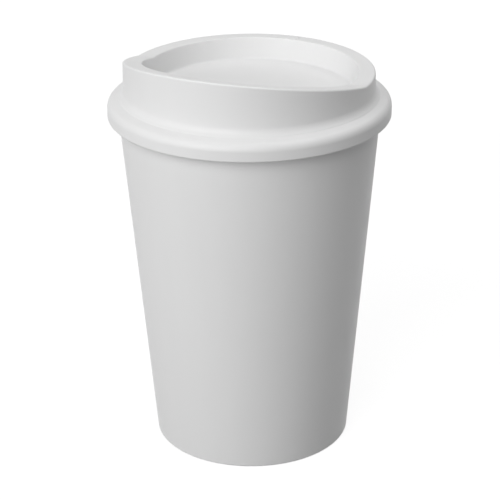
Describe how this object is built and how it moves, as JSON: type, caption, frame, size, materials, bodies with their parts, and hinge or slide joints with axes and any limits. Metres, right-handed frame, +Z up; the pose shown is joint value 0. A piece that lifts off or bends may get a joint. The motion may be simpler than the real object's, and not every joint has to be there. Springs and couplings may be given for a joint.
{
  "type": "reusable coffee cup",
  "caption": "Tapered plastic tumbler for hot drinks with a press-on lid, a rounded skirt over the rim and a raised drinking side.",
  "frame": {"origin": "middle of the foot ring, on the plane that the cup stands on", "axes": "+Z up along the cup's axis, -Y toward the drinking side of the lid, +X to the right of somebody who looks at the drinking side"},
  "size_m": [0.0812, 0.0812, 0.1206],
  "materials": {
    "cup_plastic": "satin white polypropylene",
    "lid_plastic": "satin white polypropylene"
  },
  "bodies": {
    "cup": {"cup": "cup_plastic"},
    "lid": {"lid": "lid_plastic"}
  },
  "joints": [
    {"name": "lid_lift", "type": "slide", "parent": "cup", "child": "lid", "axis": [0, 0, 1], "range_m": [0, 0.05]}
  ]
}
